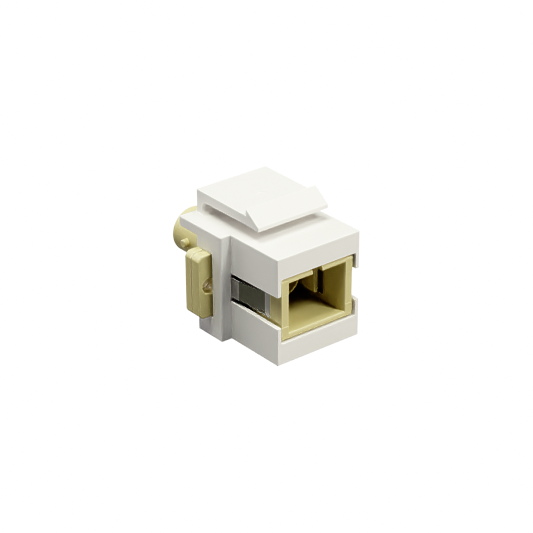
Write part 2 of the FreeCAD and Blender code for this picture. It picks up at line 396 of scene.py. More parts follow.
# %% Grow the riser and the arm
ARM_GAP = 1.85
ARM_THICKNESS = 1.55
RISER = 1.25
PANEL_GAP = 1.95
arm_low, arm_high = node_box("latch_arm")
arm_half = arm_high.x
arm_under = HALF_HEIGHT + ARM_GAP
arm_top = arm_under + ARM_THICKNESS
riser_rear = arm_high.y
riser_front = riser_rear - RISER


def on_riser(face):
    """The patch of the top plate that carries the riser."""
    centre = face.calc_center_median()
    return facing(Z, 1)(face) and abs(centre.x) < arm_half and riser_front < centre.y < riser_rear


def riser_face(face):
    """The upper front of the riser, where the arm starts."""
    centre = face.calc_center_median()
    return facing(Y, -1)(face) and centre.z > arm_under and near(centre.y, riser_front)


for place in (-arm_half, arm_half):
    slice_through(white, place, X)
for place in (riser_front, riser_rear):
    slice_through(white, place, Y)
pick(white, "FACE", on_riser)
push((0, 0, ARM_GAP))
push((0, 0, ARM_THICKNESS))
pick(white, "FACE", riser_face)
push((0, -PANEL_GAP - riser_front, 0))
push((0, arm_low.y + PANEL_GAP, 0))
start_clean()
print("arm reaches forward to", round(arm_low.y, 2))

# %% [markdown]
# The arm ends in a ramped catch that slips through the panel's opening and snaps up in front of it.
# One more extrusion lifts it out of the arm's front end, and its front points then slide down into
# the ramp. The arm's top falls a little towards the catch, as it does on the real part.

# %% Grow the catch
CATCH_HEIGHT = 0.9
CATCH_TIP = 0.6
CATCH_TIP_DROP = 0.12
ARM_DROOP = 0.15
crest = arm_top + CATCH_HEIGHT
tip_under = arm_under - CATCH_TIP_DROP


def catch_top(face):
    """The top of the arm in front of the panel's place."""
    centre = face.calc_center_median()
    return facing(Z, 1)(face) and centre.z > arm_under and centre.y < -PANEL_GAP


pick(white, "FACE", catch_top)
push((0, 0, CATCH_HEIGHT))
start_clean()
slide(white, points_at(arm_low.y, arm_under), (0, 0, -CATCH_TIP_DROP))
slide(white, points_at(arm_low.y, crest), (0, 0, tip_under + CATCH_TIP - crest))
slide(white, points_at(arm_low.y, arm_top), (0, 0, tip_under + CATCH_TIP / 2 - arm_top))
slide(white, points_at(-PANEL_GAP, arm_top), (0, 0, -ARM_DROOP))
tidy(white)
print("with latch", [round(length, 2) for length in white.dimensions])

# %% [markdown]
# The gap under the arm ends in a full round, which spreads the bending load. Its upper half is a
# plain bevel of the inside corner. A bevel can't end cleanly where the riser stands on the wider
# plate, so the lower half is a block hollowed by a rod and welded into the corner.

# %% Round the closed end of the gap
OVERCUT = 1.0
gap_radius = ARM_GAP / 2


def gap_corner(edge):
    """The upper inside corner at the closed end of the gap."""
    place = middle(edge)
    return along(edge, X) and near(place.y, riser_front) and near(place.z, arm_under)


def gap_foot():
    """The lower half of the gap's round end, flowing out of the top plate."""
    low = Vector((-arm_half, riser_front - gap_radius, HALF_HEIGHT - SHELL_WALL / 2))
    high = Vector((arm_half, riser_front + RISER / 2, HALF_HEIGHT + gap_radius))
    foot = block("foot", low, high)
    axis = (0, low.y + TINY, high.z - TINY)
    carve(foot, rod("roller", gap_radius, 2 * (arm_half + OVERCUT), axis, SIDEWAYS))
    return foot


round_edges(white, gap_corner, gap_radius - TINY, segments=ROUND_SIDES // 4)
weld(white, gap_foot())
tidy(white)
print("gap rounded, radius", gap_radius)

# %% [markdown]
# Plastic has no knife edges. The shoulder's corners are rounder than the rest of the shell and the
# latch has the finest edges, as in the photograph, so the three groups are bevelled one by one.

# %% Round the housing's outside
SHOULDER_RADIUS = 0.28
EDGE_RADIUS = 0.15
ARM_EDGE = 0.1
LATCH_ANGLE = 25


def shoulder_edge(edge):
    """The upright front corners of the shoulder."""
    return sharp_at(0)(edge) and along(edge, Z) and near(abs(middle(edge).x), house_high.x)


def shell_edge(edge):
    """Other outside corners of the shell below the latch."""
    return is_sharp(edge) and middle(edge).z < HALF_HEIGHT + TINY


def latch_edge(edge):
    """Outside corners of the riser, the arm and the catch."""
    return is_sharp(edge, LATCH_ANGLE) and middle(edge).z > HALF_HEIGHT + TINY


round_edges(white, shoulder_edge, SHOULDER_RADIUS)
round_edges(white, shell_edge, EDGE_RADIUS)
round_edges(white, latch_edge, ARM_EDGE, segments=3)
print("outside rounded, points", len(white.data.vertices))

# %% [markdown]
# Under the nose sits a fixed wedge that hooks over the opening's lower edge before the latch snaps
# in. It is a block whose lower front points slide up into a ramp, and it is welded on because it
# belongs to the same moulding.

# %% The fixed lug
LUG_HALF = 5.0
lug = block("lug", (-LUG_HALF, arm_low.y, house_low.z), (LUG_HALF, -PANEL_GAP, -plate_under))
slide(lug, points_at(arm_low.y, house_low.z), (0, 0, -HALF_HEIGHT - house_low.z))
round_edges(
    lug, lambda edge: is_sharp(edge) and middle(edge).z < -HALF_HEIGHT, ARM_EDGE / 2, segments=2
)
weld(white, lug)
print("lug welded, faces", len(white.data.polygons))

# %% [markdown]
# The adapter slides into the housing from behind. It needs an opening for its body, a notch in which
# its flange seats, and tapered windows in the sides, with a pocket at their rear end, where the
# clip's tangs snap out. Plain blocks carve them all. They run past the walls that they cut, so that
# no two faces lie in one plane.

# %% Carve the room for the adapter
BODY_HALF_WIDTH = 6.3
BODY_HALF_HEIGHT = 4.65
BODY_CORNER = 0.3
SIDE_PLAY = 0.3
LIFT_PLAY = 0.2
EAR_SEAT = 2.25
EAR_PLAY = 0.1
EAR_RELIEF = 0.3
SEAT_WIDTH = 1.5
SLOT_FRONT = 2.4
SLOT_REAR = 2.15
SLOT_REACH = 0.25
front_half_low, front_half_high = node_box("sc_body")
play_x = BODY_HALF_WIDTH + SIDE_PLAY
play_z = BODY_HALF_HEIGHT + LIFT_PLAY
beyond = plate_rear + OVERCUT
ear_reach = front_half_high.x + OVERCUT
notch_z = front_half_high.z + EAR_PLAY
pocket_x = NOSE_HALF - TINY


def side_window():
    """The tapered cut through both side walls, wider at the front."""
    reach = NOSE_HALF + OVERCUT
    window = block("window", (-reach, nose_front, -SLOT_FRONT), (reach, 0, SLOT_FRONT))
    for sign in (-1, 1):
        slide(window, points_at(0, sign * SLOT_FRONT), (0, 0, sign * (SLOT_REAR - SLOT_FRONT)))
    pick(window, "FACE", facing(Y, -1))
    push((0, -OVERCUT, 0))
    start_clean()
    return window


def flange_relief(sign):
    """The step that leaves a narrow gap between the side wall's edge and the flange."""
    inner = (play_x + SEAT_WIDTH, EAR_SEAT - EAR_RELIEF, -notch_z)
    return side_block("relief", sign, inner, (ear_reach, EAR_SEAT + OVERCUT, notch_z))


socket_low = (-play_x, nose_front - OVERCUT, -play_z)
socket = rounded_block("socket", socket_low, (play_x, beyond, play_z), BODY_CORNER)
notch = block("notch", (-ear_reach, EAR_SEAT, -notch_z), (ear_reach, beyond, notch_z))
pocket = block("pocket", (-pocket_x, -OVERCUT, -SLOT_REAR), (pocket_x, SLOT_REACH, SLOT_REAR))
carve(white, socket, notch, side_window(), pocket, flange_relief(-1), flange_relief(1))
print("room carved, faces", len(white.data.polygons))

# %% [markdown]
# Moulded walls are kept even in thickness, because thick plastic sinks in as it cools. Above and
# below the adapter the housing is therefore cored out in bays, open to the rear, with ribs left
# between them. A loop carves one bay after the other.

# %% Core out the bays
FRONT_WALL = 1.5
RIB = 1.0
BAYS = 3
bay_width = (2 * play_x - (BAYS - 1) * RIB) / BAYS


def cored_bay(index, low_z, high_z):
    """One of the hollows, counted from the left."""
    left = -play_x + index * (bay_width + RIB)
    return block("bay", (left, nose_front + FRONT_WALL, low_z), (left + bay_width, beyond, high_z))


for index in range(BAYS):
    carve(white, cored_bay(index, BODY_HALF_HEIGHT, plate_under))
    carve(white, cored_bay(index, -plate_under, -BODY_HALF_HEIGHT))
print("bays of", round(bay_width, 2), "mm cored")

# %% [markdown]
# A moulding keeps a faint mark where the melt was let into the mould: here a shallow round well on
# top of the arm, with a stub left in it. A flat rod carves the well. The middle of the rod's lower
# face is inset and raised first, which leaves the stub standing.

# %% The mark on the arm
GATE_Y = 2.0
GATE_RADIUS = 0.8
GATE_DEPTH = 0.07
GATE_STUB = 0.3
droop_here = ARM_DROOP * (riser_front - GATE_Y) / (riser_front + PANEL_GAP)
well = rod("well", GATE_RADIUS, 2 * GATE_DEPTH, (0, GATE_Y, arm_top - droop_here))
pick(well, "FACE", facing(Z, -1))
bpy.ops.mesh.inset(thickness=GATE_RADIUS - GATE_STUB)
bpy.ops.transform.translate(value=(0, 0, GATE_DEPTH / 2))
start_clean()
carve(white, well)
tidy(white)
print("housing carved, faces", len(white.data.polygons))

# %% [markdown]
# The rims of the cuts get a small rounding of their own. The latch has to bend at its root, so a
# few lines of edges are sliced round the riser.

# %% Round the rims and slice lines round the latch's root
RIM_RADIUS = 0.1
BEND_LINES = 5
BEND_MARGIN = 0.25


def rim_edge(edge):
    """Sharp edges of the front opening and the side windows."""
    place = middle(edge)
    at_front = near(place.y, nose_front)
    at_window = near(abs(place.x), NOSE_HALF) and place.y < 0 and abs(place.z) < SLOT_FRONT + TINY
    return is_sharp(edge) and (at_front or at_window)


round_edges(white, rim_edge, RIM_RADIUS, segments=2)
bend_low = HALF_HEIGHT + BEND_MARGIN
bend_high = arm_under - BEND_MARGIN
for line in range(BEND_LINES):
    slice_through(white, bend_low + (bend_high - bend_low) * line / (BEND_LINES - 1), Z)
finish_piece(white, None, "white_plastic", "keystone_housing", "latch_arm")
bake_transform(white)

# %% [markdown]
# The adapter is moulded in two halves that meet at its screw flange. The front half is a box with
# half of the flange round its back. Its upper rim falls away in a tall oval, which a bevel can't
# give, so the corner is sliced off in planes that touch the oval. Along the parting line both
# flange halves are held back by a hair, which draws the fine dark line seen on the real one.

# %% The straw front half
EAR_CORNER = 0.8
EAR_PROFILE = 0.4
EAR_EDGE = 0.2
PARTING_GAP = 0.05
PARTING_EDGE = 0.05
LIP_STEPS = 5
LIP_FALL = 0.3
LIP_RISE = 0.7
body_front = front_half_low.y
parting = front_half_high.y


def flange_half(name, y_front, y_rear, rounded_y):
    """Half of the screw flange, rounded on the face away from the parting line."""
    half_x = front_half_high.x
    half_z = front_half_high.z
    low = (-half_x, y_front, -half_z)
    high = (half_x, y_rear, half_z)
    plate = rounded_block(name, low, high, EAR_CORNER, segments=8, profile=EAR_PROFILE)
    round_edges(plate, sharp_at(rounded_y), EAR_EDGE)
    round_edges(plate, is_sharp, PARTING_EDGE, segments=2)
    return plate


def round_upper_rim(piece):
    """Slice the front's upper rim away in planes that touch a tall oval."""
    centre = Vector((0, body_front + LIP_FALL, BODY_HALF_HEIGHT - LIP_RISE))
    for step in range(1, LIP_STEPS):
        turn = math.radians(90) * step / LIP_STEPS
        touch = centre + Vector((0, -LIP_FALL * math.cos(turn), LIP_RISE * math.sin(turn)))
        outward = Vector((0, -math.cos(turn) / LIP_FALL, math.sin(turn) / LIP_RISE))
        pick_all(piece)
        bpy.ops.mesh.bisect(
            plane_co=touch, plane_no=outward, use_fill=True, clear_outer=True, threshold=CUT_SLACK
        )
        start_clean()


straw_front = rounded_block(
    "straw_front",
    (-BODY_HALF_WIDTH, body_front, -BODY_HALF_HEIGHT),
    (BODY_HALF_WIDTH, parting - TINY, BODY_HALF_HEIGHT),
    BODY_CORNER,
)
round_upper_rim(straw_front)
weld(straw_front, flange_half("flange_front", EAR_SEAT, parting - PARTING_GAP, EAR_SEAT))
print("front half grown, faces", len(straw_front.data.polygons))

# %% [markdown]
# The socket takes a push-pull plug. Its stepped inside is carved in the order in which the plug
# meets it: the cavity with its lead-in, the keyway, the room for the hooks, and the seat of the
# insert behind them. The lead-in is a block whose inner end is narrowed by sliding its points.

# %% Carve the plug's socket
CAVITY_HALF_WIDTH = 4.55
CAVITY_HALF_HEIGHT = 3.75
LEAD_IN_WIDTH = 0.45
LEAD_IN_DEPTH = 1.05
KEYWAY_HALF = 0.88
KEYWAY_LENGTH = 5.0
ROOM_HALF_WIDTH = 5.3
ROOM_HALF_HEIGHT = 2.65
ROOM_LEAD = 0.05
SEAT_HALF_HEIGHT = 4.05
SEAT_CORNER = 0.5
SEAT_PLAY = 0.05
INSERT_THICKNESS = 1.5
hook_low, hook_high = node_box("hook_insert")
insert_front = parting - 2 * SEAT_PLAY - INSERT_THICKNESS
seat_half_width = ROOM_HALF_WIDTH + TINY


def lead_in():
    """A wedge that widens the mouth of the socket sideways."""
    wide = CAVITY_HALF_WIDTH + 2 * LEAD_IN_WIDTH
    inner_end = body_front + LEAD_IN_DEPTH
    low = (-wide, body_front - LEAD_IN_DEPTH, -CAVITY_HALF_HEIGHT)
    wedge = block("lead_in", low, (wide, inner_end, CAVITY_HALF_HEIGHT))
    for sign in (-1, 1):
        slide(
            wedge,
            lambda point: near(point.co.y, inner_end) and point.co.x * sign > 0,
            (-sign * 2 * LEAD_IN_WIDTH, 0, 0),
        )
    return wedge


cavity = block(
    "cavity",
    (-CAVITY_HALF_WIDTH, body_front - 2 * OVERCUT, -CAVITY_HALF_HEIGHT),
    (CAVITY_HALF_WIDTH, insert_front + OVERCUT, CAVITY_HALF_HEIGHT),
)
keyway = block(
    "keyway",
    (-KEYWAY_HALF, body_front - OVERCUT, 0),
    (KEYWAY_HALF, body_front + KEYWAY_LENGTH, BODY_HALF_HEIGHT + OVERCUT),
)
room = block(
    "room",
    (-ROOM_HALF_WIDTH, hook_low.y - ROOM_LEAD, -ROOM_HALF_HEIGHT),
    (ROOM_HALF_WIDTH, insert_front + OVERCUT, ROOM_HALF_HEIGHT),
)
seat = rounded_block(
    "seat",
    (-seat_half_width, insert_front, -SEAT_HALF_HEIGHT),
    (seat_half_width, parting + OVERCUT, SEAT_HALF_HEIGHT),
    SEAT_CORNER,
)
carve(straw_front, cavity, lead_in(), keyway, room, seat)
print("socket carved, depth", round(insert_front - body_front, 2))

# %% [markdown]
# The clip lies flush in a shallow groove over the top and down both sides, and two holes for screws
# pass through the flange. The cutters for the holes are made by a function, because the rear half
# needs the same pair.

# %% Carve the clip's groove and the screw holes
CLIP_THICKNESS = 0.3
SCREW_X = 9.15
SCREW_RADIUS = 1.15
EAR_REAR = 5.4
clip_low, clip_high = node_box("mounting_clip")


def clip_groove():
    """Three flat recesses, over the top and down both sides, in which the clip lies."""
    out_x = BODY_HALF_WIDTH + OVERCUT
    out_z = BODY_HALF_HEIGHT + OVERCUT
    top_low = (-out_x, clip_low.y, BODY_HALF_HEIGHT - CLIP_THICKNESS)
    cuts = [block("groove", top_low, (out_x, clip_high.y, out_z))]
    for sign in (-1, 1):
        inner = (BODY_HALF_WIDTH - CLIP_THICKNESS, clip_low.y, clip_low.z)
        cuts.append(side_block("groove", sign, inner, (out_x, clip_high.y, out_z)))
    return cuts


def screw_holes():
    """Round cutters for the two flange holes."""
    length = 2 * (EAR_REAR - EAR_SEAT)
    return [
        rod("hole", SCREW_RADIUS, length, (sign * SCREW_X, parting, 0), LENGTHWISE)
        for sign in (-1, 1)
    ]


carve(straw_front, *clip_groove(), *screw_holes())
tidy(straw_front)
print("groove and holes carved, faces", len(straw_front.data.polygons))

# %% [markdown]
# Light catches on the socket's lips, so their roundings matter. The lower lip is the roundest, the
# upper one and the outside less so, and the posts least. Bevelled one after the other, they would
# tear where they meet. Each edge gets a bevel weight instead, and one Bevel modifier rounds all of
# them at once, so that the different roundings run together cleanly in the corners. The rims of the
# flange holes lie apart from them and get a plain bevel.

# %% Round the lips and the hole rims
LIP_RADIUS = 0.5
LOWER_SHARE = 1.0
UPPER_SHARE = 0.45
OUTER_SHARE = 0.45
POST_SHARE = 0.2
HOLE_EDGE = 0.22
HOLE_SLACK = 0.04


def lip_edge(sign):
    """A test for the socket's upper or lower rim."""
    rim = sign * CAVITY_HALF_HEIGHT
    return lambda edge: sharp_at(body_front)(edge) and near(middle(edge).z, rim)


def outer_edge(edge):
    """The lower outside rim of the front."""
    return sharp_at(body_front)(edge) and middle(edge).z < BODY_CORNER + TINY - BODY_HALF_HEIGHT


def post_edge(edge):
    """The upright edges of the two side posts."""
    on_post = along(edge, Z) and abs(middle(edge).x) > CAVITY_HALF_WIDTH
    return on_post and sharp_at(body_front)(edge)


def hole_rim(edge):
    """The front rims of the flange holes."""
    place = middle(edge)
    from_axis = math.hypot(abs(place.x) - SCREW_X, place.z)
    return sharp_at(EAR_SEAT)(edge) and near(from_axis, SCREW_RADIUS, HOLE_SLACK)


def weight_edges(piece, wanted, share):
    """Give the edges that pass the test a share of the next Bevel modifier's width."""
    pick(piece, "EDGE", wanted)
    bpy.ops.transform.edge_bevelweight(value=share)
    start_clean()


def bevel_by_weight(piece, width, segments):
    """Round every weighted edge at once."""
    activate(piece)
    change = piece.modifiers.new("weighted", "BEVEL")
    change.limit_method = "WEIGHT"
    change.width = width
    change.segments = segments
    bpy.ops.object.modifier_apply(modifier=change.name)


weight_edges(straw_front, lip_edge(1), UPPER_SHARE)
weight_edges(straw_front, lip_edge(-1), LOWER_SHARE)
weight_edges(straw_front, outer_edge, OUTER_SHARE)
weight_edges(straw_front, post_edge, POST_SHARE)
bevel_by_weight(straw_front, LIP_RADIUS, LIP_STEPS)
round_edges(straw_front, hole_rim, HOLE_EDGE, segments=3)
print("lips rounded, faces", len(straw_front.data.polygons))

# %% [markdown]
# A mould is made of several blocks, and where two of them meet they leave a fine line. Two such
# lines cross each post beside the socket. Pairs of slices mark them, and the stretch between them
# moves back by a twentieth of a millimetre, which is enough to catch the light.

# %% Mould lines on the posts
WITNESS_LOW = -2.63
WITNESS_HIGH = 2.1
WITNESS_DEPTH = 0.05
WITNESS_SLOPE = 0.03


def between_witness_lines(point):
    """The front of the two posts between the mould lines."""
    at_front = point.co.y < body_front + LIP_RADIUS and abs(point.co.x) > CAVITY_HALF_WIDTH
    return at_front and WITNESS_LOW - TINY < point.co.z < WITNESS_HIGH + TINY


for place in (WITNESS_LOW - WITNESS_SLOPE, WITNESS_LOW, WITNESS_HIGH, WITNESS_HIGH + WITNESS_SLOPE):
    slice_through(straw_front, place, Z)
slide(straw_front, between_witness_lines, (0, WITNESS_DEPTH, 0))
finish_piece(straw_front, "housing", "straw_plastic", "sc_body")

# %% [markdown]
# Several pieces are turned forms. `turned` walks a single point round the half outline with extrude
# and spins it about the optical axis, which is how a lathe form is drawn by hand. The ends of the
# spin meet, so the doubled points are merged and the normals are made to look outwards.

# %% A tool for turned forms
SPIN_STEPS = 72


def turned(name, profile):
    """Spin a half outline of (radius, depth) points about the optical axis."""
    start_clean()
    bpy.ops.mesh.primitive_plane_add(size=1)
    piece = bpy.context.object
    piece.name = name
    bpy.ops.object.mode_set(mode="EDIT")
    bpy.ops.mesh.select_mode(type="VERT")
    bpy.ops.mesh.select_all(action="SELECT")
    bpy.ops.mesh.merge(type="CENTER")
    place = Vector((0, 0, 0))
    for index, (radius, depth) in enumerate(profile):
        step = Vector((radius, depth, 0)) - place
        if index == 0:
            bpy.ops.transform.translate(value=step)
        else:
            bpy.ops.mesh.extrude_vertices_move(TRANSFORM_OT_translate={"value": step})
        place += step
    bpy.ops.mesh.select_all(action="SELECT")
    bpy.ops.mesh.spin(steps=SPIN_STEPS, angle=math.tau, center=(0, 0, 0), axis=(0, 1, 0))
    bpy.ops.mesh.select_all(action="SELECT")
    bpy.ops.mesh.remove_doubles(threshold=MERGE_GAP)
    bpy.ops.mesh.normals_make_consistent(inside=False)
    start_clean()
    return piece


print("turning tool ready")

# %% [markdown]
# The rear half carries the other half of the flange and the bayonet barrel. The barrel is turned
# with its bore in one outline. The two bayonet lugs are rods with a rounded end, welded to its
# sides. The chamber of the sleeve, the key slot and the screw holes are carved last.

# %% The straw rear half with its barrel
BARREL_RADIUS = 3.5
BARREL_WALL = 1.05
BARREL_FLOOR = 11.35
BARREL_EDGE = 0.12
CHAMBER_RADIUS = 1.7
CHAMBER_REAR = 9.7
ENTRY_RADIUS = 1.4
ENTRY_FLARE = 0.3
BAYONET_SIDES = 32
BAYONET_RADIUS = 0.65
BAYONET_HEIGHT = 0.8
BAYONET_EDGE = 0.2
BAYONET_SETBACK = 3.55
KEY_HALF = 0.8
KEY_DEPTH = 2.5
barrel_end = node_box("st_body")[1].y
bore = BARREL_RADIUS - BARREL_WALL


def bayonet_lug(sign):
    """A short round peg on the side of the barrel, rounded at its outer end."""
    root = BARREL_RADIUS - BARREL_WALL / 2
    tip = BARREL_RADIUS + BAYONET_HEIGHT
    place = (sign * (root + tip) / 2, barrel_end - BAYONET_SETBACK, 0)
    peg = rod("peg", BAYONET_RADIUS, tip - root, place, SIDEWAYS, BAYONET_SIDES)
    round_edges(peg, lambda edge: is_sharp(edge) and near(abs(middle(edge).x), tip), BAYONET_EDGE)
    return peg


straw_rear = flange_half("straw_rear", parting + PARTING_GAP, EAR_REAR, EAR_REAR)
barrel = turned("barrel", [
    (0, parting + OVERCUT),
    (BARREL_RADIUS, parting + OVERCUT),
    (BARREL_RADIUS, barrel_end),
    (bore, barrel_end),
    (bore, BARREL_FLOOR),
    (ENTRY_RADIUS + ENTRY_FLARE, BARREL_FLOOR),
    (ENTRY_RADIUS, CHAMBER_REAR),
    (ENTRY_RADIUS, CHAMBER_REAR - OVERCUT),
    (0, CHAMBER_REAR - OVERCUT),
])
round_edges(barrel, sharp_at(barrel_end), BARREL_EDGE)
weld(straw_rear, barrel, bayonet_lug(-1), bayonet_lug(1))
chamber = turned("chamber", [
    (0, parting - OVERCUT),
    (CHAMBER_RADIUS, parting - OVERCUT),
    (CHAMBER_RADIUS, CHAMBER_REAR),
    (0, CHAMBER_REAR),
])
key_slot = block(
    "key_slot",
    (-KEY_HALF, barrel_end - KEY_DEPTH, -BARREL_RADIUS - OVERCUT),
    (KEY_HALF, barrel_end + OVERCUT, 0),
)
carve(straw_rear, chamber, key_slot, *screw_holes())
finish_piece(straw_rear, "housing", "straw_plastic", "st_body")

# %% [markdown]
# Deep in the socket sits the insert that does the holding: a plate with two barbed arms that snap
# behind a plug's shoulders and a tube that carries the sleeve. Each arm is one block whose barb is
# pushed out of its inner side. The tube is turned, and so is the hollow that is carved from it. The
# arms and the tube end inside the plate, so that the weld has no faces in one plane.

# %% The hook insert
INSERT_HALF_WIDTH = 5.2
HOOK_OUTER = 3.7
HOOK_THICKNESS = 0.5
HOOK_BARB = 0.25
HOOK_BARB_LENGTH = 2.45
HOOK_HALF_HEIGHT = 1.95
HOOK_CORNER = 0.22
HOOK_NOSE = 0.12
TUBE_RADIUS = 2.1
TUBE_FRONT = -3.4
CHAMBER_FRONT = -1.9
sunk_end = hook_high.y - OVERCUT
barb_end = hook_low.y + HOOK_BARB_LENGTH


def hook_head(sign):
    """A test for the inner side of an arm's front end."""
    return lambda face: facing(X, -sign)(face) and face.calc_center_median().y < barb_end


def hook(sign):
    """One sprung arm with an inward barb at its front end."""
    inner = (HOOK_OUTER - HOOK_THICKNESS, hook_low.y, -HOOK_HALF_HEIGHT)
    arm = side_block("hook", sign, inner, (HOOK_OUTER, sunk_end, HOOK_HALF_HEIGHT))
    slice_through(arm, barb_end, Y)
    pick(arm, "FACE", hook_head(sign))
    push((-sign * HOOK_BARB, 0, 0))
    start_clean()
    round_edges(arm, lambda edge: is_sharp(edge) and along(edge, Y), HOOK_CORNER)
    round_edges(arm, sharp_at(hook_low.y), HOOK_NOSE, segments=3)
    return arm


insert = rounded_block(
    "hook_insert_moulding",
    (-INSERT_HALF_WIDTH, hook_high.y - INSERT_THICKNESS, hook_low.z),
    (INSERT_HALF_WIDTH, hook_high.y, hook_high.z),
    SEAT_CORNER,
)
tube = turned("tube", [
    (0, TUBE_FRONT),
    (TUBE_RADIUS, TUBE_FRONT),
    (TUBE_RADIUS, sunk_end),
    (0, sunk_end),
])
flare_slope = ENTRY_FLARE / (CHAMBER_FRONT - TUBE_FRONT)
hollow = turned("hollow", [
    (0, TUBE_FRONT - OVERCUT),
    (ENTRY_RADIUS + ENTRY_FLARE + flare_slope * OVERCUT, TUBE_FRONT - OVERCUT),
    (ENTRY_RADIUS, CHAMBER_FRONT),
    (CHAMBER_RADIUS, CHAMBER_FRONT),
    (CHAMBER_RADIUS, hook_high.y + OVERCUT),
    (0, hook_high.y + OVERCUT),
])
round_edges(tube, sharp_at(TUBE_FRONT), HOOK_NOSE, segments=3)
weld(insert, tube, hook(-1), hook(1))
carve(insert, hollow)
finish_piece(insert, "housing", "straw_plastic", "hook_insert")

# %% [markdown]
# The split sleeve lines the two ferrules up. It is a thin bronze tube, spun from its wall's outline
# and slit along the top so that it can spring open.

# %% The split sleeve
SLEEVE_BORE = 1.25
SLEEVE_WALL = 0.35
SLEEVE_CHAMFER = 0.12
SLIT_HALF = 0.25
sleeve_low, sleeve_high = node_box("split_sleeve")
sleeve_radius = SLEEVE_BORE + SLEEVE_WALL
wide_bore = SLEEVE_BORE + SLEEVE_CHAMFER
sleeve = turned("bronze_sleeve", [
    (wide_bore, sleeve_low.y),
    (sleeve_radius, sleeve_low.y),
    (sleeve_radius, sleeve_high.y),
    (wide_bore, sleeve_high.y),
    (SLEEVE_BORE, sleeve_high.y - SLEEVE_CHAMFER),
    (SLEEVE_BORE, sleeve_low.y + SLEEVE_CHAMFER),
    (wide_bore, sleeve_low.y),
])
slit = block(
    "slit",
    (-SLIT_HALF, sleeve_low.y - OVERCUT, 0),
    (SLIT_HALF, sleeve_high.y + OVERCUT, sleeve_radius + OVERCUT),
)
carve(sleeve, slit)
finish_piece(sleeve, "housing", "sleeve_bronze", "split_sleeve")

# %% [markdown]
# The clip is bent from one strip of spring steel, and it is modelled as the press shop makes it,
# starting with a flat sheet over the top. Its two side edges are extruded down as legs, and a bevel
# of the two folds gives them the radius of the bending tool.

# %% Fold the clip from a flat sheet
CLIP_PLAY = 0.02
CLIP_BEND = 0.6
clip_half = BODY_HALF_WIDTH + CLIP_PLAY
leg_drop = (0, 0, clip_low.z - clip_high.z)


def fold_edge(edge):
    """The two edges between the top and the legs."""
    return along(edge, Y) and near(middle(edge).z, clip_high.z)


start_clean()
bpy.ops.mesh.primitive_plane_add(size=1, location=(0, (clip_low.y + clip_high.y) / 2, clip_high.z))
clip = bpy.context.object
clip.name = "steel_clip"
clip.scale = (2 * clip_half, clip_high.y - clip_low.y, 1)
bpy.ops.object.transform_apply(location=True, rotation=True, scale=True)
pick(clip, "EDGE", lambda edge: along(edge, Y))
bpy.ops.mesh.extrude_edges_move(TRANSFORM_OT_translate={"value": leg_drop})
round_edges(clip, fold_edge, CLIP_BEND, segments=6)
print("clip folded", [round(length, 2) for length in clip.dimensions])

# %% [markdown]
# In each leg the press slits the sheet round a tang and bends the tang outwards, so that it springs
# into the housing's window. Slices mark the slits and the crease, the strips between them are
# deleted, and the tang's points slide outwards, at the tip a little further than at the crease.

# %% Cut and bend the tangs
CLIP_STRIP = 1.1
TANG_HALF = 1.8
TANG_SLIT = 0.28
TANG_RISE = 0.78
TANG_TIP = 1.68
TANG_TIP_RISE = 0.12
TANG_END_GAP = 0.1
tang_edge = TANG_HALF - TANG_SLIT
tang_base = clip_low.y + CLIP_STRIP
tang_tip = SLOT_REACH - TANG_END_GAP
tang_crease = tang_tip - TANG_TIP


def slit_face(face):
    """The narrow strips round the tang that the press cuts out."""
    centre = face.calc_center_median()
    in_window = abs(centre.z) < TANG_HALF and tang_base < centre.y < SLOT_REACH
    return in_window and (abs(centre.z) > tang_edge or centre.y > tang_tip)


def tang_points(sign, depth):
    """A test for the tang's points on one side at one depth."""
    def wanted(point):
        on_tang = abs(point.co.z) < tang_edge + TINY
        return on_tang and near(point.co.y, depth) and point.co.x * sign > 0
    return wanted


for height in (TANG_HALF, tang_edge, -tang_edge, -TANG_HALF):
    slice_through(clip, height, Z)
for depth in (tang_base, tang_crease, tang_tip, SLOT_REACH):
    slice_through(clip, depth, Y)
pick(clip, "FACE", slit_face)
bpy.ops.mesh.delete(type="FACE")
for sign in (-1, 1):
    slide(clip, tang_points(sign, tang_crease), (sign * TANG_RISE, 0, 0))
    slide(clip, tang_points(sign, tang_tip), (sign * (TANG_RISE + TANG_TIP_RISE), 0, 0))
print("tangs bent out by", TANG_RISE, "mm")

# %% [markdown]
# A Solidify modifier gives the sheet its thickness, inwards from the folded outside. Highlights and
# reflections are then painted on the steel: the tang is left dark, its tip and the strip get a painted
# reflection, and the cut edges a bright painted highlight. Each face gets a number for that, in an
# attribute that the steel's material reads later.

# %% Thickness and painted highlights of the clip
CUT_EDGE = 0.04
CUT_ANGLE = 70
CUT_SLOPE = 0.6
# Strengths of the painted highlights and reflections on the steel; the tang itself gets none.
CUT_GLINT = 1.0
STRIP_GLINT = 0.4
TIP_GLINT = 0.4
NO_GLINT = 0.0


def painted_glint_of(face):
    """How much painted highlight and reflection one face of the steel gets."""
    on_leg = face.center.z < clip_high.z - CLIP_BEND
    if abs(face.normal.y) > CUT_SLOPE or (on_leg and abs(face.normal.z) > CUT_SLOPE):
        return CUT_GLINT
    if not on_leg or abs(face.normal.x) > STRAIGHT:
        return STRIP_GLINT
    return NO_GLINT if face.center.y < tang_crease else TIP_GLINT


pick_all(clip)
bpy.ops.mesh.normals_make_consistent(inside=False)
activate(clip)
wall = clip.modifiers.new("wall", "SOLIDIFY")
wall.thickness = CLIP_THICKNESS
wall.offset = -1
wall.use_even_offset = True
bpy.ops.object.modifier_apply(modifier=wall.name)
tidy(clip)
round_edges(clip, lambda edge: is_sharp(edge, CUT_ANGLE), CUT_EDGE, segments=2)
# A face attribute carries each face's painted highlight and reflection strength.
painted_glint = clip.data.attributes.new("painted_glint", "FLOAT", "FACE")
painted_glint.data.foreach_set("value", [painted_glint_of(face) for face in clip.data.polygons])
finish_piece(clip, "housing", "spring_steel", "mounting_clip")
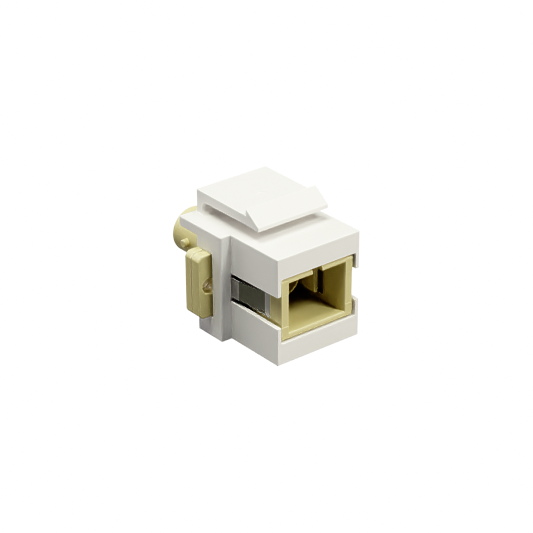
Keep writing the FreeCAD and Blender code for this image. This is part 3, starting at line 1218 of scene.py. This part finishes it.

# %% [markdown]
# Moulded plastic is never one flat colour. Under a lamp it shows a fine spark-eroded grain and slow
# drifts of tone where the melt flowed. Its outside edges also get a painted highlight, a lighter colour
# where rounded edges catch the light. Two node groups hold those effects, so that the finishes can
# share them. The first one makes grain and drift from two noises. It reads Object coordinates, which
# stay put when the part is turned.

# %% Node group for grain and drift
GRAIN_DETAIL = 3.0
DRIFT_DETAIL = 2.0


def add_node(tree, kind, place, **settings):
    """A node at a place in the editor, with its options set."""
    node = tree.nodes.new(kind)
    node.location = place
    for name, value in settings.items():
        setattr(node, name, value)
    return node


def new_group(name, inputs, outputs):
    """An empty shader group with number sockets."""
    tree = bpy.data.node_groups.new(name, "ShaderNodeTree")
    for socket_name, value in inputs.items():
        made = tree.interface.new_socket(socket_name, in_out="INPUT", socket_type="NodeSocketFloat")
        made.default_value = value
    for socket_name in outputs:
        tree.interface.new_socket(socket_name, in_out="OUTPUT", socket_type="NodeSocketFloat")
    return tree


def moulded_grain_group():
    """Fine grain for bump and a slow drift of tone, both from object space."""
    scales = {"Grain Scale": 9000.0, "Drift Scale": 260.0}
    tree = new_group("moulded_grain", scales, ["Grain", "Drift"])
    inlet = add_node(tree, "NodeGroupInput", (-600, 0))
    outlet = add_node(tree, "NodeGroupOutput", (300, 0))
    space = add_node(tree, "ShaderNodeTexCoord", (-600, 200))
    for effect, detail, height in (("Grain", GRAIN_DETAIL, 150), ("Drift", DRIFT_DETAIL, -150)):
        noise = add_node(tree, "ShaderNodeTexNoise", (-200, height))
        noise.inputs["Detail"].default_value = detail
        tree.links.new(space.outputs["Object"], noise.inputs["Vector"])
        tree.links.new(inlet.outputs[effect + " Scale"], noise.inputs["Scale"])
        tree.links.new(noise.outputs["Fac"], outlet.inputs[effect])
    return tree


GRAIN = moulded_grain_group()
print("group", GRAIN.name)

# %% [markdown]
# The second group finds the outside edges, where a highlight is painted on. An Ambient Occlusion
# node that looks inwards stays bright where the material is thick and darkens close to an edge, so
# its opposite is a mask for the edges. A little noise breaks the mask up, so that the painted
# highlight is uneven.

# %% Node group for the painted edge highlight
# The painted edge highlight keeps at least this share where the noise is lowest.
LEAST_HIGHLIGHT = 0.6


def painted_edge_highlight_group():
    """A mask for a painted highlight, strong on outside edges and broken up by a little noise."""
    values = {"Reach": 0.0002, "Strength": 1.6, "Break Up": 1500.0}
    tree = new_group("painted_edge_highlight", values, ["Wear"])
    inlet = add_node(tree, "NodeGroupInput", (-800, 0))
    outlet = add_node(tree, "NodeGroupOutput", (600, 0))
    closeness = add_node(tree, "ShaderNodeAmbientOcclusion", (-600, 250), inside=True, only_local=True)
    space = add_node(tree, "ShaderNodeTexCoord", (-800, -200))
    noise = add_node(tree, "ShaderNodeTexNoise", (-500, -150))
    edge = add_node(tree, "ShaderNodeMath", (-300, 200), operation="SUBTRACT")
    edge.inputs[0].default_value = 1.0
    broken = add_node(tree, "ShaderNodeMapRange", (-300, -150))
    broken.inputs["To Min"].default_value = LEAST_HIGHLIGHT
    scaled = add_node(tree, "ShaderNodeMath", (0, 150), operation="MULTIPLY")
    blend = add_node(tree, "ShaderNodeMath", (250, 0), operation="MULTIPLY", use_clamp=True)
    for source, goal in (
        (space.outputs["Object"], noise.inputs["Vector"]),
        (inlet.outputs["Break Up"], noise.inputs["Scale"]),
        (inlet.outputs["Reach"], closeness.inputs["Distance"]),
        (closeness.outputs["AO"], edge.inputs[1]),
        (noise.outputs["Fac"], broken.inputs["Value"]),
        (edge.outputs["Value"], scaled.inputs[0]),
        (inlet.outputs["Strength"], scaled.inputs[1]),
        (scaled.outputs["Value"], blend.inputs[0]),
        (broken.outputs["Result"], blend.inputs[1]),
        (blend.outputs["Value"], outlet.inputs["Wear"]),
    ):
        tree.links.new(source, goal)
    return tree


EDGE_HIGHLIGHT = painted_edge_highlight_group()
print("group", EDGE_HIGHLIGHT.name)

# %% [markdown]
# Plastics and metals here are put together from the same few steps: mix two colours by a mask, let a
# value follow a mask between two limits, and turn a height into a bump. A function for each keeps
# the recipes that follow short.

# %% Steps that the finishes share


def group_node(tree, group, place):
    """A shared group placed in a material."""
    return add_node(tree, "ShaderNodeGroup", place, node_tree=group)


def mix_colours(tree, place, factor, first, second):
    """A colour mix whose factor is linked; a colour is a value or a socket."""
    mix = add_node(tree, "ShaderNodeMix", place, data_type="RGBA")
    tree.links.new(factor, mix.inputs["Factor"])
    for socket_in, colour in ((mix.inputs["A"], first), (mix.inputs["B"], second)):
        if isinstance(colour, tuple):
            socket_in.default_value = (*colour, 1)
        else:
            tree.links.new(colour, socket_in)
    return mix.outputs["Result"]


def link_range(tree, place, source, limits, goal):
    """Let a shader's value follow a mask between two limits."""
    node = add_node(tree, "ShaderNodeMapRange", place)
    node.inputs["To Min"].default_value = limits[0]
    node.inputs["To Max"].default_value = limits[1]
    tree.links.new(source, node.inputs["Value"])
    tree.links.new(node.outputs["Result"], goal)


def link_bump(tree, shader, height, depth, strength):
    """Feed a height into the shader's normal through a Bump node."""
    bump = add_node(tree, "ShaderNodeBump", (-250, -350))
    bump.inputs["Strength"].default_value = strength
    bump.inputs["Distance"].default_value = depth
    tree.links.new(height, bump.inputs["Height"])
    tree.links.new(bump.outputs["Normal"], shader.inputs["Normal"])


def new_material(name):
    """A node material; its tree and its Principled shader."""
    material = bpy.data.materials.new(name)
    material.use_nodes = True
    tree = material.node_tree
    return material, tree, tree.nodes["Principled BSDF"]


print("finish steps ready")

# %% [markdown]
# Both plastics use the same recipe: two nearby tones mixed by the drift, a painted highlight in a
# lighter tone along the outside edges, a roughness that follows the drift, and the grain as a very
# shallow bump. A recipe in one function keeps the two finishes alike, as they are on the real part.

# %% The two plastics
PLASTIC_SPECULAR = 0.45
GRAIN_DEPTH = 0.00002
GRAIN_STRENGTH = 0.25


def moulded_plastic(name, tone, deep_tone, highlight_tone, gloss):
    """Satin plastic with drifting tone, a painted highlight along its edges and a fine grain."""
    material, tree, shader = new_material(name)
    grain = group_node(tree, GRAIN, (-900, 0))
    edge_highlight = group_node(tree, EDGE_HIGHLIGHT, (-900, 300))
    body = mix_colours(tree, (-600, 200), grain.outputs["Drift"], deep_tone, tone)
    # Painted highlight: the lighter tone is mixed in along the outside edges.
    colour = mix_colours(tree, (-350, 250), edge_highlight.outputs["Wear"], body, highlight_tone)
    tree.links.new(colour, shader.inputs["Base Color"])
    link_range(tree, (-600, -50), grain.outputs["Drift"], gloss, shader.inputs["Roughness"])
    link_bump(tree, shader, grain.outputs["Grain"], GRAIN_DEPTH, GRAIN_STRENGTH)
    shader.inputs["Specular IOR Level"].default_value = PLASTIC_SPECULAR
    return material


# The edge tone of each plastic is its painted highlight along the edges.
white_plastic = moulded_plastic(
    "white_moulding",
    tone=(0.95, 0.94, 0.92),
    deep_tone=(0.93, 0.918, 0.895),
    highlight_tone=(0.99, 0.985, 0.97),
    gloss=(0.36, 0.46),
)
straw_plastic = moulded_plastic(
    "straw_moulding",
    tone=(0.72, 0.66, 0.38),
    deep_tone=(0.66, 0.6, 0.33),
    highlight_tone=(0.94, 0.9, 0.64),
    gloss=(0.34, 0.44),
)
print("plastics", white_plastic.name, straw_plastic.name)

# %% [markdown]
# The clip is rolled spring steel, with fine streaks along the strip. The sleeve is drawn bronze with
# the same kind of streaks along its length. One recipe stretches a noise in one direction and lets
# it steer colour, roughness and a shallow bump. A lighter colour is then painted on as a highlight:
# along the outside edges of the bronze, and on the steel where its painted highlight attribute says.
# There the steel is also made less of a mirror, so that the painted light shows as plain colour.

# %% The two metals
FINE = 16000
LONG = 300
STREAK_DETAIL = 4.0
STREAK_DEPTH = 0.000005
STREAK_STRENGTH = 0.3
GLINT_METALLIC = 0.4


def streaked_metal(name, stretch, tone, dark_tone, highlight_tone, gloss, mask=None):
    """Metal with fine streaks along one direction, painted lighter as a highlight on its edges or where
    a mask says.
    """
    material, tree, shader = new_material(name)
    space = add_node(tree, "ShaderNodeTexCoord", (-1300, 0))
    turn = add_node(tree, "ShaderNodeMapping", (-1100, 0))
    turn.inputs["Scale"].default_value = stretch
    noise = add_node(tree, "ShaderNodeTexNoise", (-900, 0))
    noise.inputs["Scale"].default_value = 1.0
    noise.inputs["Detail"].default_value = STREAK_DETAIL
    streaks = noise.outputs["Fac"]
    tree.links.new(space.outputs["Object"], turn.inputs["Vector"])
    tree.links.new(turn.outputs["Vector"], noise.inputs["Vector"])
    # Painted light: the colour is made lighter as a painted highlight, where the mask says or else
    # along the outside edges, and where the mask says the metal is also less of a mirror.
    if mask:
        bright = add_node(tree, "ShaderNodeAttribute", (-900, 300), attribute_name=mask).outputs["Fac"]
        glint_metallic = (1.0, GLINT_METALLIC)
        link_range(tree, (-600, -250), bright, glint_metallic, shader.inputs["Metallic"])
    else:
        bright = group_node(tree, EDGE_HIGHLIGHT, (-900, 300)).outputs["Wear"]
        shader.inputs["Metallic"].default_value = 1.0
    body = mix_colours(tree, (-600, 200), streaks, dark_tone, tone)
    colour = mix_colours(tree, (-350, 250), bright, body, highlight_tone)
    tree.links.new(colour, shader.inputs["Base Color"])
    link_range(tree, (-600, -50), streaks, gloss, shader.inputs["Roughness"])
    link_bump(tree, shader, streaks, STREAK_DEPTH, STREAK_STRENGTH)
    return material


# The edge tone of each metal is painted light: highlights and reflections on the steel, an edge
# highlight on the bronze.
spring_steel = streaked_metal(
    "rolled_steel",
    stretch=(LONG, FINE, LONG),
    tone=(0.34, 0.34, 0.29),
    dark_tone=(0.24, 0.24, 0.2),
    highlight_tone=(0.9, 0.88, 0.83),
    gloss=(0.22, 0.4),
    mask="painted_glint",
)
sleeve_bronze = streaked_metal(
    "drawn_bronze",
    stretch=(FINE, LONG, FINE),
    tone=(0.7, 0.46, 0.22),
    dark_tone=(0.55, 0.34, 0.15),
    highlight_tone=(0.8, 0.6, 0.35),
    gloss=(0.2, 0.35),
)
print("metals", spring_steel.name, sleeve_bronze.name)

# %% [markdown]
# Each piece now gets its finish. A dictionary says at a glance what is made of what.

# %% Dress the pieces
FINISHES = {
    white: white_plastic,
    straw_front: straw_plastic,
    straw_rear: straw_plastic,
    insert: straw_plastic,
    sleeve: sleeve_bronze,
    clip: spring_steel,
}
for piece, finish in FINISHES.items():
    piece.data.materials.clear()
    piece.data.materials.append(finish)
    print(piece.name, "is", finish.name)

# %% [markdown]
# The camera stands where the photograph was taken from, up and to the left, with a long lens that
# keeps the edges almost parallel. Its aim is a point near the middle of the part.

# %% Camera
CAMERA_PLACE = Vector((-152.65, -188.94, 122.92)) * MM
CAMERA_TARGET = Vector((-3.46, -3.07, 3.24)) * MM
CAMERA_ROLL = math.radians(-0.27)
CAMERA_LENS = 132.0
SENSOR_WIDTH = 36.0
NEAREST = 0.01
camera_data = bpy.data.cameras.new("camera")
camera_data.lens = CAMERA_LENS
camera_data.sensor_width = SENSOR_WIDTH
camera_data.clip_start = NEAREST
camera = bpy.data.objects.new("camera", camera_data)
bpy.context.scene.collection.objects.link(camera)
camera.location = CAMERA_PLACE
sight = CAMERA_TARGET - CAMERA_PLACE
camera.rotation_mode = "QUATERNION"
camera.rotation_quaternion = sight.to_track_quat("-Z", "Y") @ Quaternion((0, 0, 1), CAMERA_ROLL)
bpy.context.scene.camera = camera
print("camera looks along", [round(value, 3) for value in sight.normalized()])

# %% [markdown]
# The floor is drawn as plain white for the camera, as in a cut-out picture, and is an ordinary matt
# grey for the light that bounces off it. A Light Path node tells the two kinds of ray apart.

# %% Floor
FLOOR_SIZE = 6.0
FLOOR_TONE = 0.3


def pale_floor():
    """A wide plane under the part that the camera sees as white."""
    start_clean()
    bpy.ops.mesh.primitive_plane_add(size=FLOOR_SIZE, location=(0, 0, CAD_BOX[0].z))
    plane = bpy.context.object
    plane.name = "floor"
    material, tree, shader = new_material("floor")
    tree.nodes.remove(shader)
    path_kind = add_node(tree, "ShaderNodeLightPath", (-400, 300))
    matt = add_node(tree, "ShaderNodeBsdfDiffuse", (-400, 0))
    matt.inputs["Color"].default_value = (FLOOR_TONE, FLOOR_TONE, FLOOR_TONE, 1)
    paper = add_node(tree, "ShaderNodeEmission", (-400, -200))
    choose = add_node(tree, "ShaderNodeMixShader", (-100, 0))
    tree.links.new(path_kind.outputs["Is Camera Ray"], choose.inputs["Fac"])
    tree.links.new(matt.outputs["BSDF"], choose.inputs[1])
    tree.links.new(paper.outputs["Emission"], choose.inputs[2])
    tree.links.new(choose.outputs["Shader"], tree.nodes["Material Output"].inputs["Surface"])
    plane.data.materials.append(material)
    print("floor at height", round(plane.location.z / MM, 2))


pale_floor()

# %% [markdown]
# The photograph's tones say where its lamps stood. A soft box high in front lights the fronts and
# the floor of the socket, a low one far to the right only grazes the front, one overhead lights
# the tops, and one behind on the left draws the left sides out of the dark. Each has a slight tint,
# because the light in a studio is never quite one white.

# %% Lamps
LAMP_DISTANCE = 0.6


def soft_box(name, azimuth, elevation, size, power, tint):
    """A square lamp on a dome round the part; azimuth 0 is in front and 90 is to the right."""
    around = math.radians(azimuth)
    above = math.radians(elevation)
    flat = LAMP_DISTANCE * math.cos(above)
    place = Vector((flat * math.sin(around), -flat * math.cos(around), LAMP_DISTANCE * math.sin(above)))
    data = bpy.data.lights.new(name, "AREA")
    data.energy = power
    data.size = size
    data.color = tint
    lamp = bpy.data.objects.new(name, data)
    bpy.context.scene.collection.objects.link(lamp)
    lamp.location = place
    lamp.rotation_mode = "QUATERNION"
    lamp.rotation_quaternion = (-place).to_track_quat("-Z", "Y")
    print("lamp", name, [round(value, 2) for value in place])


soft_box("key", azimuth=20, elevation=53, size=0.15, power=0.86, tint=(0.98, 1.0, 0.91))
soft_box("graze", azimuth=60, elevation=5, size=0.4, power=1.75, tint=(1.0, 0.9, 0.75))
soft_box("overhead", azimuth=-90, elevation=78, size=0.3, power=1.62, tint=(0.99, 0.99, 0.85))
soft_box("rear", azimuth=-160, elevation=25, size=0.4, power=0.76, tint=(1.0, 0.96, 0.94))
world = bpy.data.worlds.new("studio")
bpy.context.scene.world = world
world.use_nodes = True
world.node_tree.nodes["Background"].inputs["Strength"].default_value = 0

# %% [markdown]
# A camera doesn't record light evenly: it crushes the darks and rolls off the brights. Curves in the
# colour management do the same. Each is the usual film curve, with one value for its contrast and
# one for where its shoulder begins, and light below a small amount stays black. The curve's points
# lie closer together in the darks. The blue one is a little softer, which warms the brights and
# leaves a trace of lilac in the shadows.

# %% Film curves
FILM_CONTRAST = (1.8, 1.8, 1.6)
FILM_SHOULDER = (0.25, 0.25, 0.246)
FILM_BLACK = 0.015
CURVE_POINTS = 12


def film(light, contrast, shoulder):
    """The recorded tone of an amount of light; one stays one."""
    bend = shoulder ** contrast
    above_black = max(light - FILM_BLACK, 0) / (1 - FILM_BLACK)
    lifted = above_black ** contrast
    return lifted / (lifted + bend) * (1 + bend)


view = bpy.context.scene.view_settings
view.view_transform = "Standard"
view.use_curve_mapping = True
for curve, contrast, shoulder in zip(view.curve_mapping.curves, FILM_CONTRAST, FILM_SHOULDER):
    for index in range(1, CURVE_POINTS):
        light = (index / CURVE_POINTS) ** 2
        curve.points.new(light, film(light, contrast, shoulder))
    print("half light is recorded as", round(film(0.5, contrast, shoulder), 3))
view.curve_mapping.update()

# %% [markdown]
# Product pictures are sharpened a little before they are printed, which draws a fine bright line
# along each edge. A Filter node in the compositor does the same after the render. It would draw a
# dark line round the outline too, so only what became lighter is kept.

# %% Sharpen the picture
SHARPENING = 0.45
bpy.context.scene.use_nodes = True
darkroom = bpy.context.scene.node_tree
darkroom.nodes.clear()
exposed = add_node(darkroom, "CompositorNodeRLayers", (-300, 0))
sharpen = add_node(darkroom, "CompositorNodeFilter", (0, 0), filter_type="SHARPEN_DIAMOND")
sharpen.inputs["Fac"].default_value = SHARPENING
lighter = add_node(darkroom, "CompositorNodeMixRGB", (250, 0), blend_type="LIGHTEN")
printed = add_node(darkroom, "CompositorNodeComposite", (500, 0))
darkroom.links.new(exposed.outputs["Image"], sharpen.inputs["Image"])
darkroom.links.new(exposed.outputs["Image"], lighter.inputs[1])
darkroom.links.new(sharpen.outputs["Image"], lighter.inputs[2])
darkroom.links.new(lighter.outputs["Image"], printed.inputs["Image"])
print("sharpened by", SHARPENING)
